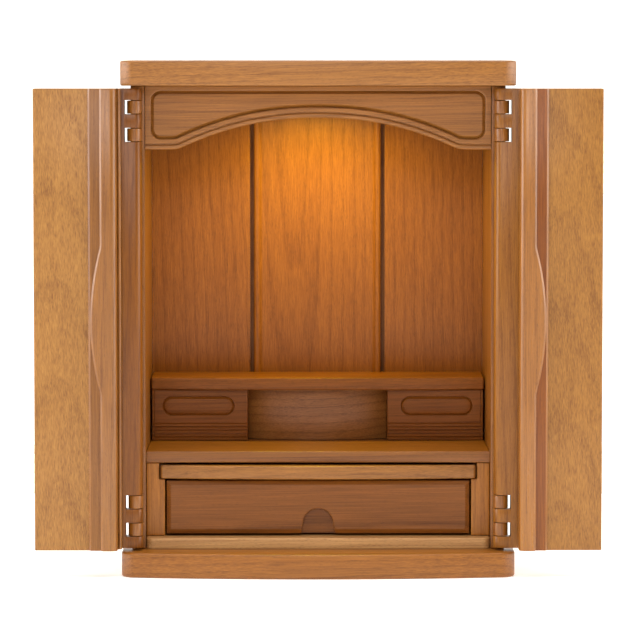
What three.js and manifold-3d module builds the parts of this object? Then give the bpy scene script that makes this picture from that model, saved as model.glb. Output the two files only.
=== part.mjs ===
// Household altar cabinet: an open-fronted box of solid boards with a pair of two-leaf folding doors,
// an inner platform, a pull-out board and a drawer. Millimetres, +Z up, front towards -Y.
// The origin is the middle of the footprint at floor level. The doors are modelled folded back.

import * as THREE from 'three';
import { mergeVertices } from 'three/addons/utils/BufferGeometryUtils.js';
import Module from 'manifold-3d';

// ---- overall size --------------------------------------------------------------------------------
const BOARD_WIDTH = 428;        // top and base boards, over all
const BOARD_DEPTH = 290;        // from the middle of the bowed front to the back edge
const TOTAL_HEIGHT = 560;
const BOARD_THICK = 27;
const BOARD_BOW = 17;           // rise of the bowed front edge
const BOARD_CORNER = 18;        // rounding of the front corners seen from above
const ARRIS = 1.6;              // softened edges of the visible boards
const GAP = 0.3;                // clearance left at every joint between two pieces

const HALF_WIDTH = BOARD_WIDTH / 2;
const FRONT = -BOARD_DEPTH / 2;
const BACK = BOARD_DEPTH / 2;
const FRONT_END = FRONT + BOARD_BOW;
const CASE_BOTTOM = BOARD_THICK + GAP;
const CASE_TOP = TOTAL_HEIGHT - BOARD_THICK - GAP;

// ---- case ----------------------------------------------------------------------------------------
const INNER_HALF = 188.6;       // half of the clear width between the side boards
const SIDE_THICK = 15;
const SIDE_FRONT = FRONT + 50.5;
const SIDE_BACK = BACK - 20;
const BACK_THICK = 6;
const FRAME_FRONT = SIDE_FRONT + 18.5;   // face of the stiles and of the drawer
const FLOOR_THICK = 11.5;       // thin floor board on the base
const FLOOR_CORNER = 8;

// ---- doors ---------------------------------------------------------------------------------------
const AXIS_X = 199;             // upright axis of each wooden knuckle hinge
const AXIS_Y = FRONT + 41;
const LEAF_THICK = 16;          // hung leaf, and the lowest step of the folding leaf
const BARREL = LEAF_THICK / 2;  // radius of the rounded hinge edge
const DOOR_BOTTOM = BOARD_THICK + 3;
const DOOR_TOP = TOTAL_HEIGHT - BOARD_THICK - 3;
const HUNG_LENGTH = 108.3;      // from the hinge axis to the folding edge
const FOLD_GAP = 3.5;           // between the two leaves when folded together
const FOLD_REACH = 0.2;         // the folding pivot stands this far out from both leaves' edges
const FOLD_CHAMFER = 1.2;       // clears the hinge's knuckles
const LEAF_WIDTH = 90;          // folding leaf
const MEET_TONGUE = 4;          // tongue on the left leaf that closes the gap between the doors
const TONGUE_THICK = 7;

const KNUCKLE_FIRST = 13.2;     // from the door's end to the first case knuckle
const KNUCKLE_TALL = 14;
const KNUCKLE_PITCH = 30;
const KNUCKLE_SLOT = 10.6;      // reach of the slot in the leaf, from the hinge axis
const KNUCKLE_PLAY = 0.6;

// Relief of the folding leaf, measured from its folding edge and from its inner face.
const STEP_ONE = 59;            // the broad low panel ends here
const STEP_TWO = 71.8;          // the middle strip ends here
const RISER = 2.2;              // width of each chamfered riser
const LEVEL_TWO = 19.5;
const LEVEL_THREE = 24;
const EDGE_ROUND = 6;
const WAVE_RISE = STEP_TWO - STEP_ONE - RISER;
const WAVE_RADIUS = 300;
const WAVE_FILLET = 27;

// Brass hinges between the leaves.
const BUTT_TALL = 54;
const BUTT_FROM_END = 60;
const BUTT_WING = 17;
const BUTT_THICK = 1.0;
const BUTT_KNUCKLE = 1.8;
const BUTT_KNUCKLES = 5;

// ---- inside --------------------------------------------------------------------------------------
const MID_SHELF_BOTTOM = 119.8;
const MID_SHELF_TOP = 132.4;
const BACK_PANEL_FRONT = BACK - 35;
const BACK_PANEL_THICK = 6;
const CENTRE_PANEL_HALF = 72.6;
const PANEL_SPACE = 4;
const PANEL_BEAD = 9.5;         // width of the bead along the centre panel's edges
const BEAD_RISE = 2.6;

const UPPER_SHELF_BOTTOM = 190.4;
const UPPER_SHELF_TOP = 204.4;
const UPPER_SHELF_HALF = 187.1;
const UPPER_SHELF_FRONT = FRONT + 171;
const UPPER_SHELF_BOW = 8;
const BOX_FRONT = FRONT + 183;  // faces of the two boxes of the platform
const BOX_OUTER = 186.5;
const BOX_INNER = 78.6;
const BOX_FRONT_THICK = 10;
const CHEEK_THICK = 8;
const ARC_PANEL_RISE = 20;      // the panel between the boxes bulges forward by this much
const ARC_PANEL_THICK = 6;

const VALANCE_FRONT = SIDE_FRONT + 2;
const VALANCE_THICK = 12;
const VALANCE_CROWN = 498;      // underside in the middle
const VALANCE_FOOT = 463.2;     // underside at the ends
const VALANCE_SWEEP = 146.3;    // half width of the curved part
const VALANCE_POWER = 2.15;
const VALANCE_BEAD = 5.6;
const VALANCE_QUIRK = 1.3;
const VALANCE_BAND = 5;
const VALANCE_GROOVE = 3.8;

const STILE_INNER = 168.1;
const STILE_THICK = 12;
const RUNNER_OUTER = 169.6;     // inner side of the runners' upright part
const RUNNER_INNER = 159;
const RUNNER_BOTTOM = 101;
const RUNNER_TOP = 104.2;

const TRAY_BOTTOM = 102.4;
const TRAY_TOP = 117.4;
const TRAY_HALF = 172.8;
const TRAY_BOW = 11;
const TRAY_PROUD = 3;           // the nosing's ends stand this far in front of the stiles
const TRAY_PLAY = 1.6;          // gap around the nosing in the notches of the stiles
const TRAY_BOARD_HALF = 168.6;
const TRAY_BOARD_BACK = FRAME_FRONT + 150;

const DRAWER_BOTTOM = 41.3;
const DRAWER_TOP = 99.8;
const DRAWER_HALF = 166.3;
const DRAWER_FRONT_THICK = 15;
const DRAWER_ROUND = 4.5;       // rounding of the drawer front's edges
const DRAWER_BACK = FRAME_FRONT + 172;
const DRAWER_SIDE_THICK = 8;
const DRAWER_SIDE_TOP = 94;
const PULL_HALF = 18.8;         // finger recess at its open lower end
const PULL_TALL = 27.5;
const PULL_DEEP = 8;

const LAMP_RADIUS = 21;
const LAMP_TALL = 9;
const LAMP_Y = BACK_PANEL_FRONT - 110;

// ---- materials -----------------------------------------------------------------------------------
function makeMaterial(color, roughness, metalness = 0) {
  return new THREE.MeshStandardMaterial({ color, roughness, metalness });
}

const lightWood = makeMaterial(0xb9824b, 0.45);
const doorWood = makeMaterial(0xc08a50, 0.45);
const innerWood = makeMaterial(0x8f5429, 0.5);
const drawerWood = makeMaterial(0xa06233, 0.5);
const brass = makeMaterial(0xb89a62, 0.35, 1);
const lampWhite = makeMaterial(0xe8e4dc, 0.5);
const lampGlow = makeMaterial(0xffd9a0, 0.3);

// ---- geometry helpers ----------------------------------------------------------------------------
const wasm = await Module();
wasm.setup();

function weld(geometry) {
  const bare = geometry.clone();
  bare.deleteAttribute('normal');
  bare.deleteAttribute('uv');
  return mergeVertices(bare, 1e-4);
}

function toSolid(geometry) {
  const welded = weld(geometry);
  const mesh = new wasm.Mesh({
    numProp: 3,
    vertProperties: new Float32Array(welded.attributes.position.array),
    triVerts: new Uint32Array(welded.index.array),
  });
  return new wasm.Manifold(mesh);
}

function fromSolid(solid) {
  const mesh = solid.getMesh();
  const geometry = new THREE.BufferGeometry();
  geometry.setAttribute('position', new THREE.BufferAttribute(new Float32Array(mesh.vertProperties), 3));
  geometry.setIndex(new THREE.BufferAttribute(new Uint32Array(mesh.triVerts), 1));
  geometry.computeVertexNormals();
  return geometry;
}

function joinAll(first, ...others) {
  return fromSolid(others.reduce((sum, next) => sum.add(toSolid(next)), toSolid(first)));
}

function cutAll(first, ...cutters) {
  return fromSolid(cutters.reduce((rest, next) => rest.subtract(toSolid(next)), toSolid(first)));
}

// A box from its two opposite corners.
function block(low, high) {
  const size = high.map((value, i) => value - low[i]);
  const geometry = new THREE.BoxGeometry(...size);
  geometry.translate(...low.map((value, i) => value + size[i] / 2));
  return geometry;
}

function bevelOptions(depth, arris) {
  return {
    depth: depth - 2 * arris,
    bevelEnabled: arris > 0,
    bevelThickness: arris,
    bevelSize: arris,
    bevelOffset: -arris,
    bevelSegments: 2,
    curveSegments: 8,
  };
}

// An outline of [x, y] points, drawn out upwards from z0 to z1.
function upright(points, z0, z1, arris = 0) {
  const shape = new THREE.Shape(points.map(([x, y]) => new THREE.Vector2(x, y)));
  const geometry = new THREE.ExtrudeGeometry(shape, bevelOptions(z1 - z0, arris));
  geometry.translate(0, 0, z0 + arris);
  return geometry;
}

// An outline of [x, z] points, drawn out from the plane y0 at the front to y1 at the back.
function facing(points, y0, y1, arris = 0) {
  const shape = new THREE.Shape(points.map(([x, z]) => new THREE.Vector2(x, z)));
  const geometry = new THREE.ExtrudeGeometry(shape, bevelOptions(y1 - y0, arris));
  geometry.rotateX(Math.PI / 2);
  geometry.translate(0, y1 - arris, 0);
  return geometry;
}

// A mirror image across the plane x = 0, with its faces turned outwards again.
function mirrored(geometry) {
  const flipped = weld(geometry);
  flipped.scale(-1, 1, 1);
  const index = flipped.index.array;
  for (let i = 0; i < index.length; i += 3) {
    [index[i], index[i + 1]] = [index[i + 1], index[i]];
  }
  flipped.computeVertexNormals();
  return flipped;
}

// A closed body through a stack of rings of [x, y] points, each at its own height.
function stacked(outlines, heights) {
  const flat = outlines[0].map(([x, y]) => new THREE.Vector2(x, y));
  const rings = THREE.ShapeUtils.isClockWise(flat) ? outlines.map((ring) => [...ring].reverse()) : outlines;
  const count = rings[0].length;
  const position = rings.flatMap((ring, k) => ring.flatMap(([x, y]) => [x, y, heights[k]]));
  const index = [];
  for (let k = 0; k + 1 < rings.length; k++) {
    for (let i = 0; i < count; i++) {
      const a = k * count + i;
      const b = k * count + (i + 1) % count;
      index.push(a, b, b + count, a, b + count, a + count);
    }
  }
  const cap = THREE.ShapeUtils.triangulateShape(rings[0].map(([x, y]) => new THREE.Vector2(x, y)), []);
  const last = (rings.length - 1) * count;
  for (const [a, b, c] of cap) {
    index.push(a, c, b, last + a, last + b, last + c);
  }
  const geometry = new THREE.BufferGeometry();
  geometry.setAttribute('position', new THREE.Float32BufferAttribute(position, 3));
  geometry.setIndex(index);
  geometry.computeVertexNormals();
  return geometry;
}

// Points of an arc about a centre, from one angle to another, in degrees.
function arc(centre, radius, from, to, steps) {
  return Array.from({ length: steps + 1 }, (_, i) => {
    const angle = THREE.MathUtils.degToRad(from + (to - from) * i / steps);
    return [centre[0] + radius * Math.cos(angle), centre[1] + radius * Math.sin(angle)];
  });
}

// Distance that a bowed edge falls back from its crown, a shallow circle through both ends.
function bowDrop(x, half, rise) {
  const radius = (half * half + rise * rise) / (2 * rise);
  return radius - Math.sqrt(radius * radius - x * x);
}

// A board's outline seen from above: straight back and sides, a bowed front with rounded corners.
function bowedOutline(half, frontEnd, rise, back, corner, steps = 16) {
  const inner = half - corner;
  const crown = frontEnd - rise;
  const front = [];
  for (let i = 0; i <= steps; i++) {
    const x = -inner + 2 * inner * i / steps;
    front.push([x, crown + bowDrop(x, half, rise)]);
  }
  const shoulder = front[steps][1] + corner;
  const right = arc([inner, shoulder], corner, -90, 0, 4).slice(1);
  const left = arc([-inner, shoulder], corner, 180, 270, 4).slice(0, -1);
  return [...left, ...front, ...right, [half, back], [-half, back]];
}

// ---- assembly ------------------------------------------------------------------------------------
const cabinet = new THREE.Group();

function add(name, geometry, material) {
  const mesh = new THREE.Mesh(geometry, material);
  mesh.name = name;
  cabinet.add(mesh);
}

function addPair(name, rightGeometry, material) {
  add(`${name}_left`, mirrored(rightGeometry), material);
  add(`${name}_right`, rightGeometry, material);
}

// ---- top, base and floor boards ------------------------------------------------------------------
function buildBoards() {
  const outline = bowedOutline(HALF_WIDTH, FRONT_END, BOARD_BOW, BACK, BOARD_CORNER);
  add('base_board', upright(outline, 0, BOARD_THICK, ARRIS), lightWood);
  add('top_board', upright(outline, TOTAL_HEIGHT - BOARD_THICK, TOTAL_HEIGHT, ARRIS), lightWood);

  const floorHalf = INNER_HALF - GAP;
  const floorOutline = bowedOutline(floorHalf, SIDE_FRONT, 0.01, SIDE_BACK - BACK_THICK - GAP, FLOOR_CORNER, 1);
  add('floor_board', upright(floorOutline, CASE_BOTTOM, CASE_BOTTOM + FLOOR_THICK, 1), lightWood);
}

// ---- side boards with their hinge knuckles, and the back -------------------------------------------
function knuckleHeights() {
  const lower = [0, 1].map((i) => DOOR_BOTTOM + KNUCKLE_FIRST + i * KNUCKLE_PITCH);
  const upper = lower.map((z) => DOOR_TOP + DOOR_BOTTOM - z - KNUCKLE_TALL);
  return [...lower, ...upper];
}

function buildCase() {
  const outer = INNER_HALF + SIDE_THICK;
  const board = block([INNER_HALF, SIDE_FRONT, CASE_BOTTOM], [outer, SIDE_BACK, CASE_TOP]);
  const knuckles = knuckleHeights().flatMap((z) => {
    const round = upright(arc([AXIS_X, AXIS_Y], BARREL, 0, 330, 11), z, z + KNUCKLE_TALL);
    const arm = block([AXIS_X - BARREL, AXIS_Y, z], [outer, SIDE_FRONT + 1, z + KNUCKLE_TALL]);
    return [round, arm];
  });
  addPair('side_board', joinAll(board, ...knuckles), lightWood);

  const half = INNER_HALF - GAP;
  const back = block([-half, SIDE_BACK - BACK_THICK, CASE_BOTTOM], [half, SIDE_BACK, CASE_TOP]);
  add('back_board', back, innerWood);
}

// ---- three-part inner back -------------------------------------------------------------------------
function buildInnerBack() {
  const bottom = MID_SHELF_TOP + GAP;
  const rear = BACK_PANEL_FRONT + BACK_PANEL_THICK;
  const half = CENTRE_PANEL_HALF;
  const bead = PANEL_BEAD / 2;
  const beadArc = arc([0, 0], 1, 180, 0, 8).map(([x, y]) => [
    half - bead + bead * x, BACK_PANEL_FRONT - BEAD_RISE * y,
  ]);
  const rightEdge = [[half - PANEL_BEAD - 1.6, BACK_PANEL_FRONT], [half - PANEL_BEAD - 0.8,
    BACK_PANEL_FRONT + 1], ...beadArc, [half, rear]];
  const leftEdge = rightEdge.map(([x, y]) => [-x, y]).reverse();
  add('back_panel_centre', upright([...leftEdge, ...rightEdge], bottom, CASE_TOP), innerWood);

  const low = [half + PANEL_SPACE, BACK_PANEL_FRONT, bottom];
  addPair('back_panel', block(low, [INNER_HALF - GAP, rear, CASE_TOP]), innerWood);
}

// ---- down-light under the top board ------------------------------------------------------------------
function buildLamp() {
  const top = CASE_TOP;
  const ring = [
    [LAMP_RADIUS - 5, 0], [LAMP_RADIUS - 1, 0], [LAMP_RADIUS, 1], [LAMP_RADIUS, LAMP_TALL],
    [0, LAMP_TALL], [0, 4], [LAMP_RADIUS - 5, 4], [LAMP_RADIUS - 5, 0],
  ];
  const housing = new THREE.LatheGeometry(ring.map(([x, y]) => new THREE.Vector2(x, y)), 20);
  housing.rotateX(Math.PI / 2);
  housing.translate(0, LAMP_Y, top - LAMP_TALL);
  add('lamp_housing', housing, lampWhite);

  const lens = new THREE.CylinderGeometry(LAMP_RADIUS - 5.3, LAMP_RADIUS - 5.3, 2.4, 20);
  lens.rotateX(Math.PI / 2);
  lens.translate(0, LAMP_Y, top - LAMP_TALL + 4 - GAP - 1.2);
  add('lamp_lens', lens, lampGlow);
}

// ---- valance ----------------------------------------------------------------------------------------
// Height of the valance's lower edge: a crown that falls away as a power of the distance from the
// middle, and eases into a level foot at each end.
function valanceEdge(x) {
  const fall = VALANCE_CROWN - (VALANCE_CROWN - VALANCE_FOOT - 3) * (Math.abs(x) / VALANCE_SWEEP) ** VALANCE_POWER;
  const over = fall - VALANCE_FOOT;
  return VALANCE_FOOT + (over + Math.sqrt(over * over + 4)) / 2;
}

// The lower edge set back by an even distance, from -half to half.
function valanceCurve(setBack, half, steps = 36) {
  return Array.from({ length: steps + 1 }, (_, i) => {
    const x = -half + 2 * half * i / steps;
    const slope = (valanceEdge(x + 0.5) - valanceEdge(x - 0.5));
    const length = Math.hypot(1, slope);
    const ends = i === 0 || i === steps;
    return [x - (ends ? 0 : setBack * slope / length), valanceEdge(x) + setBack / length];
  });
}

function fieldOutline(inset) {
  const half = INNER_HALF - 6.6 - inset;
  const top = CASE_TOP - 5.5 - inset;
  const corner = 11 - inset;
  const low = VALANCE_BEAD + VALANCE_QUIRK + VALANCE_BAND + inset;
  const bottom = valanceCurve(low, half - corner);
  const foot = bottom[0][1];
  return [
    ...bottom.slice(1, -1),
    ...arc([half - corner, foot + corner], corner, -90, 0, 4),
    ...arc([half - corner, top - corner], corner, 0, 90, 4),
    ...arc([-half + corner, top - corner], corner, 90, 180, 4),
    ...arc([-half + corner, foot + corner], corner, 180, 270, 4),
  ];
}

function buildValance() {
  const half = INNER_HALF - GAP;
  const outline = [...valanceCurve(0, half), [half, CASE_TOP], [-half, CASE_TOP]];
  const plate = toSolid(facing(outline, VALANCE_FRONT, VALANCE_FRONT + VALANCE_THICK));

  const before = VALANCE_FRONT - 1;
  const outer = toSolid(facing(fieldOutline(0), before, VALANCE_FRONT + 2));
  const inner = toSolid(facing(fieldOutline(VALANCE_GROOVE), before - 1, VALANCE_FRONT + 3));
  const groove = outer.subtract(inner);

  const lower = valanceCurve(VALANCE_BEAD, half + 1);
  const upper = valanceCurve(VALANCE_BEAD + VALANCE_QUIRK, half + 1).reverse();
  const quirk = toSolid(facing([...lower, ...upper], before, VALANCE_FRONT + 1.4));
  add('valance', fromSolid(plate.subtract(groove).subtract(quirk)), lightWood);
}

// ---- shelf, stiles and runners around the drawer -------------------------------------------------------
function buildFrame() {
  const half = INNER_HALF - GAP;
  const shelf = block([-half, FRAME_FRONT - 2, MID_SHELF_BOTTOM], [half, SIDE_BACK - BACK_THICK - GAP,
    MID_SHELF_TOP]);
  add('middle_shelf', shelf, lightWood);

  const bottom = CASE_BOTTOM + FLOOR_THICK + GAP;
  const top = MID_SHELF_BOTTOM - GAP;
  const notch = TRAY_HALF + TRAY_PLAY;
  const stile = [
    [half, bottom], [half, top], [notch, top], [notch, TRAY_BOTTOM - TRAY_PLAY / 2],
    [STILE_INNER, TRAY_BOTTOM - TRAY_PLAY / 2], [STILE_INNER, bottom],
  ];
  addPair('stile', facing(stile, FRAME_FRONT, FRAME_FRONT + STILE_THICK), lightWood);

  const runner = [
    [half, bottom], [half, top], [RUNNER_OUTER, top], [RUNNER_OUTER, RUNNER_TOP],
    [RUNNER_INNER, RUNNER_TOP], [RUNNER_INNER, RUNNER_BOTTOM], [RUNNER_OUTER, RUNNER_BOTTOM],
    [RUNNER_OUTER, bottom],
  ];
  const front = FRAME_FRONT + STILE_THICK + GAP;
  const back = SIDE_BACK - BACK_THICK - GAP;
  addPair('runner', facing(runner, front, back), innerWood);
}

// ---- pull-out board --------------------------------------------------------------------------------------
function buildTray() {
  const nosingBack = FRAME_FRONT + 6;
  const nosing = bowedOutline(TRAY_HALF, FRAME_FRONT - TRAY_PROUD, TRAY_BOW, nosingBack, 3, 12);
  add('tray_nosing', upright(nosing, TRAY_BOTTOM, TRAY_TOP, 1.5), lightWood);

  const low = [-TRAY_BOARD_HALF, nosingBack + GAP, RUNNER_TOP + 0.4];
  add('tray_board', block(low, [TRAY_BOARD_HALF, TRAY_BOARD_BACK, TRAY_TOP - 2]), lightWood);
}

// ---- drawer ---------------------------------------------------------------------------------------------
function buildDrawer() {
  const frontBack = FRAME_FRONT + DRAWER_FRONT_THICK;
  const face = [
    [-DRAWER_HALF, DRAWER_BOTTOM], [DRAWER_HALF, DRAWER_BOTTOM],
    [DRAWER_HALF, DRAWER_TOP], [-DRAWER_HALF, DRAWER_TOP],
  ];
  const archRadius = PULL_HALF - 2.3;
  const pull = [
    [-PULL_HALF, DRAWER_BOTTOM - 5],
    [PULL_HALF, DRAWER_BOTTOM - 5],
    ...arc([0, DRAWER_BOTTOM + PULL_TALL - archRadius], archRadius, 0, 180, 10),
  ];
  const front = facing(face, FRAME_FRONT, frontBack, DRAWER_ROUND);
  const recess = facing(pull, FRAME_FRONT - 5, FRAME_FRONT + PULL_DEEP);
  add('drawer_front', cutAll(front, recess), drawerWood);

  const outer = DRAWER_HALF - 0.8;
  const inner = outer - DRAWER_SIDE_THICK;
  const sideFront = frontBack + GAP;
  const side = block([inner, sideFront, DRAWER_BOTTOM], [outer, DRAWER_BACK, DRAWER_SIDE_TOP]);
  addPair('drawer_side', side, innerWood);

  const half = inner - GAP;
  const backLow = [-half, DRAWER_BACK - DRAWER_SIDE_THICK, DRAWER_BOTTOM];
  add('drawer_back', block(backLow, [half, DRAWER_BACK, DRAWER_SIDE_TOP]), innerWood);

  const floorHigh = [half, DRAWER_BACK - DRAWER_SIDE_THICK - GAP, DRAWER_BOTTOM + 5];
  add('drawer_bottom', block([-half, sideFront, DRAWER_BOTTOM], floorHigh), innerWood);
}

// ---- platform: upper shelf on two boxes with a bulging panel between them ---------------------------------
function buildPlatform() {
  const rear = BACK_PANEL_FRONT - BEAD_RISE - GAP;
  const shelf = bowedOutline(UPPER_SHELF_HALF, UPPER_SHELF_FRONT + UPPER_SHELF_BOW, UPPER_SHELF_BOW, rear, 2, 12);
  add('upper_shelf', upright(shelf, UPPER_SHELF_BOTTOM, UPPER_SHELF_TOP, 1.2), innerWood);

  const bottom = MID_SHELF_TOP + GAP;
  const top = UPPER_SHELF_BOTTOM - GAP;
  const front = block([BOX_INNER, BOX_FRONT, bottom], [BOX_OUTER, BOX_FRONT + BOX_FRONT_THICK, top]);
  addPair('platform_front', cutAll(front, ...platformGrooves(bottom)), innerWood);

  const cheekFront = BOX_FRONT + BOX_FRONT_THICK + GAP;
  const outerLow = [BOX_OUTER - CHEEK_THICK, cheekFront, bottom];
  addPair('platform_outer_cheek', block(outerLow, [BOX_OUTER, rear, top]), innerWood);
  const innerHigh = [BOX_INNER + CHEEK_THICK, rear, top];
  addPair('platform_inner_cheek', block([BOX_INNER, cheekFront, bottom], innerHigh), innerWood);

  const half = BOX_INNER - GAP;
  const crown = BOX_FRONT + 4;
  const curve = Array.from({ length: 17 }, (_, i) => {
    const x = -half + 2 * half * i / 16;
    return [x, crown + bowDrop(x, half, ARC_PANEL_RISE)];
  });
  const behind = curve.map(([x, y]) => [x, y + ARC_PANEL_THICK]).reverse();
  add('platform_centre', upright([...curve, ...behind], bottom, top), innerWood);
}

// Grooves of a platform box: a long ring with round ends, and reeding along the foot.
function platformGrooves(bottom) {
  const centre = (BOX_INNER + BOX_OUTER) / 2 + 1.6;
  const height = bottom + 38.9;
  const reach = 29.6;
  const pill = (radius, y0, y1) => toSolid(facing([
    ...arc([centre + reach, height], radius, -90, 90, 8),
    ...arc([centre - reach, height], radius, 90, 270, 8),
  ], y0, y1));
  const ring = pill(10.5, BOX_FRONT - 1, BOX_FRONT + 1.6).subtract(pill(8.3, BOX_FRONT - 2, BOX_FRONT + 3));
  const reeds = [3, 7, 10.8, 14.6, 18.4].map((z) => block(
    [BOX_INNER - 1, BOX_FRONT - 1, bottom + z], [BOX_OUTER + 1, BOX_FRONT + 1, bottom + z + 1.1],
  ));
  return [fromSolid(ring), ...reeds];
}

// ---- doors ----------------------------------------------------------------------------------------------
function hungLeaf() {
  const end = AXIS_X + HUNG_LENGTH;
  const back = AXIS_Y + BARREL;
  const front = AXIS_Y - BARREL;
  const section = [
    ...arc([AXIS_X, AXIS_Y], BARREL, 90, 270, 10),
    [end - FOLD_CHAMFER, front], [end, front + FOLD_CHAMFER], [end, back - 1.5], [end - 1.5, back],
  ];
  const slots = knuckleHeights().map((z) => block(
    [AXIS_X - BARREL - 1, front - 1, z - KNUCKLE_PLAY],
    [AXIS_X + KNUCKLE_SLOT, back + 1, z + KNUCKLE_TALL + KNUCKLE_PLAY],
  ));
  return cutAll(upright(section, DOOR_BOTTOM, DOOR_TOP), ...slots);
}

// How far the top step swells outwards at a distance from mid-height: a large arc between two fillets.
function waveSwell(distance) {
  const reach = Math.sqrt(2 * WAVE_RISE * (WAVE_RADIUS + WAVE_FILLET) - WAVE_RISE ** 2);
  const change = reach * WAVE_RADIUS / (WAVE_RADIUS + WAVE_FILLET);
  if (distance >= reach) return 0;
  if (distance <= change) return WAVE_RISE - WAVE_RADIUS + Math.sqrt(WAVE_RADIUS ** 2 - distance ** 2);
  return WAVE_FILLET - Math.sqrt(WAVE_FILLET ** 2 - (reach - distance) ** 2);
}

// Section of the folding leaf: [distance from the folding edge, height above the inner face].
function foldingSection(swell, hasTongue) {
  const step = STEP_TWO - swell;
  const round = arc([LEAF_WIDTH - EDGE_ROUND, LEVEL_THREE - EDGE_ROUND], EDGE_ROUND, 90, 0, 4);
  const meeting = hasTongue
    ? [[LEAF_WIDTH, TONGUE_THICK], [LEAF_WIDTH + MEET_TONGUE, TONGUE_THICK], [LEAF_WIDTH + MEET_TONGUE, 0]]
    : [[LEAF_WIDTH, TONGUE_THICK + 1], [LEAF_WIDTH - MEET_TONGUE - 0.6, TONGUE_THICK + 1],
      [LEAF_WIDTH - MEET_TONGUE - 0.6, 0]];
  return [
    [FOLD_CHAMFER, 0], [0, FOLD_CHAMFER], [0, LEAF_THICK - 1.5], [1.5, LEAF_THICK],
    [STEP_ONE, LEAF_THICK], [STEP_ONE + RISER - 0.05, LEVEL_TWO],
    [step, LEVEL_TWO], [step + RISER, LEVEL_THREE],
    ...round, ...meeting,
  ];
}

function foldingLeaf(hasTongue) {
  const foldEdge = AXIS_X + HUNG_LENGTH;
  const innerFace = AXIS_Y - BARREL - FOLD_GAP;
  const middle = (DOOR_BOTTOM + DOOR_TOP) / 2;
  const offsets = [0, 14, 28, 42, 54, 63, 69, 75, 82];
  const heights = [
    DOOR_BOTTOM, ...offsets.slice(1).reverse().map((t) => middle - t), ...offsets.map((t) => middle + t), DOOR_TOP,
  ];
  const rings = heights.map((z) => foldingSection(waveSwell(Math.abs(z - middle)), hasTongue)
    .map(([u, v]) => [foldEdge - u, innerFace - v]));
  return stacked(rings, heights);
}

function buildDoors() {
  addPair('door_hung_leaf', hungLeaf(), doorWood);
  add('door_folding_leaf_left', mirrored(foldingLeaf(true)), doorWood);
  add('door_folding_leaf_right', foldingLeaf(false), doorWood);
}

// ---- brass hinges between the leaves -----------------------------------------------------------------------
// One half of a butt hinge: a wing on a leaf's inner face and every second knuckle of the barrel.
function hingeHalf(bottom, onHungLeaf) {
  const pivot = [AXIS_X + HUNG_LENGTH + FOLD_REACH, AXIS_Y - BARREL - FOLD_GAP / 2];
  const side = onHungLeaf ? 1 : -1;
  const far = pivot[1] + side * (FOLD_GAP / 2 - GAP);
  const near = far - side * BUTT_THICK;
  const wing = block([pivot[0] - FOLD_REACH - BUTT_WING, Math.min(far, near), bottom],
    [pivot[0] - 0.4, Math.max(far, near), bottom + BUTT_TALL]);
  const tall = BUTT_TALL / BUTT_KNUCKLES;
  let solid = toSolid(wing);
  for (let i = 0; i < BUTT_KNUCKLES; i++) {
    const z = bottom + i * tall;
    const mine = (i % 2 === 0) === onHungLeaf;
    const radius = mine ? BUTT_KNUCKLE : BUTT_KNUCKLE + 0.25;
    const play = mine ? 0.15 : -0.15;
    const piece = toSolid(upright(arc(pivot, radius, 0, 330, 11), z + play, z + tall - play));
    solid = mine ? solid.add(piece) : solid.subtract(piece);
  }
  return fromSolid(solid);
}

function buildHinges() {
  const bottoms = { lower: DOOR_BOTTOM + BUTT_FROM_END, upper: DOOR_TOP - BUTT_FROM_END - BUTT_TALL };
  for (const [place, bottom] of Object.entries(bottoms)) {
    addPair(`hinge_${place}_hung_half`, hingeHalf(bottom, true), brass);
    addPair(`hinge_${place}_folding_half`, hingeHalf(bottom, false), brass);
  }
}

buildBoards();
buildCase();
buildInnerBack();
buildLamp();
buildValance();
buildFrame();
buildTray();
buildDrawer();
buildPlatform();
buildDoors();
buildHinges();

export default cabinet;
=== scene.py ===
# %% [markdown]
# # A household altar cabinet
# The cabinet is a box of solid boards with an open front. A pair of two-leaf folding doors hangs on
# wooden knuckles, and inside stand a small platform, a pull-out board and a drawer. This script dresses
# the imported model: it keeps every place and size that the model gives, and builds finer surfaces and
# wood finishes over it. The first step loads the model.

# %% Load the frame
import math
import bmesh
import bpy
import numpy as np
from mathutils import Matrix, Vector


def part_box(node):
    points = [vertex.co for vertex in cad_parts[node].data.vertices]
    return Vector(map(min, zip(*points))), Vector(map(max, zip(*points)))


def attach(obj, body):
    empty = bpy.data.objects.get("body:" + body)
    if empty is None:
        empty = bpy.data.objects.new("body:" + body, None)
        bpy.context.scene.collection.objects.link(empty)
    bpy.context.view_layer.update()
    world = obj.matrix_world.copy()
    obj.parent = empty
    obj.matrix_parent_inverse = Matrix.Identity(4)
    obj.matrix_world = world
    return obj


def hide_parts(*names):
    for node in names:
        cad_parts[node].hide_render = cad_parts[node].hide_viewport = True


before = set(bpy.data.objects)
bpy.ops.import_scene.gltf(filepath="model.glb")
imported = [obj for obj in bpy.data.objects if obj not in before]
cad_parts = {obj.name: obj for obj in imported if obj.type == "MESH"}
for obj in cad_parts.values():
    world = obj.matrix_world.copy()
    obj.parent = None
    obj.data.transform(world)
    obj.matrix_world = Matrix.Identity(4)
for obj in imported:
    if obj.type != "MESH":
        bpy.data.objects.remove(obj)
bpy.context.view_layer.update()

# %% [markdown]
# ## Camera
# A long lens far away keeps upright edges upright, so the cabinet reads as furniture and not as a toy.
# It stands a little left of the middle and above the top board, which shows the shelves from above.

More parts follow.
